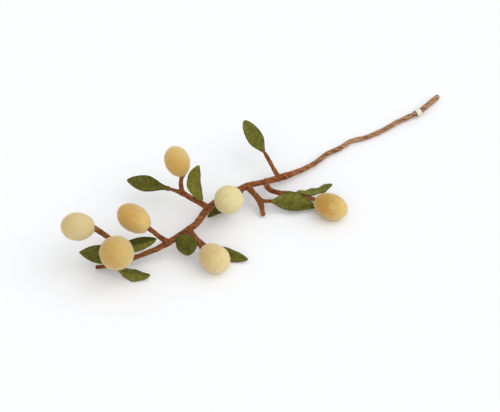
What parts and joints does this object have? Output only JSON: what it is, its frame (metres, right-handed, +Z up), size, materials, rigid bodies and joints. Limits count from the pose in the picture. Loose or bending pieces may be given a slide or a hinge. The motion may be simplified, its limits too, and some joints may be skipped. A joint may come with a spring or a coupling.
{
  "type": "felt lemon branch",
  "caption": "Branch of wool felt with lemons and leaves on a bendable stem wrapped in brown wool, lying down; a craft decoration.",
  "frame": {"origin": "at the height that the branch lies on, under the middle of its box", "axes": "+X along the stem towards its cut end, +Z up from the surface it lies on, +Y away from the viewer's right-hand lemon, across the branch"},
  "size_m": [0.5442, 0.1808, 0.0839],
  "materials": {
    "felt_brown": "matt brown wool, wrapped and felted",
    "felt_green": "matt olive green felt",
    "felt_pale": "matt pale yellow felt",
    "felt_amber": "matt amber felt",
    "steel_wire": "plain steel wire",
    "cotton_tape": "plain off-white woven tape"
  },
  "bodies": {
    "root": {"stem": "felt_brown", "wire_core": "steel_wire", "tape_loop": "cotton_tape", "lemon_1": "felt_pale", "lemon_2": "felt_amber", "lemon_3": "felt_amber", "lemon_4": "felt_pale", "lemon_5": "felt_amber", "lemon_6": "felt_pale", "lemon_7": "felt_amber", "leaf_1": "felt_green", "leaf_2": "felt_green", "leaf_3": "felt_green", "leaf_4": "felt_green", "leaf_5": "felt_green", "leaf_6": "felt_green", "leaf_7": "felt_green", "leaf_8": "felt_green", "leaf_9": "felt_green", "leaf_10": "felt_green", "leaf_11": "felt_green"}
  },
  "joints": []
}
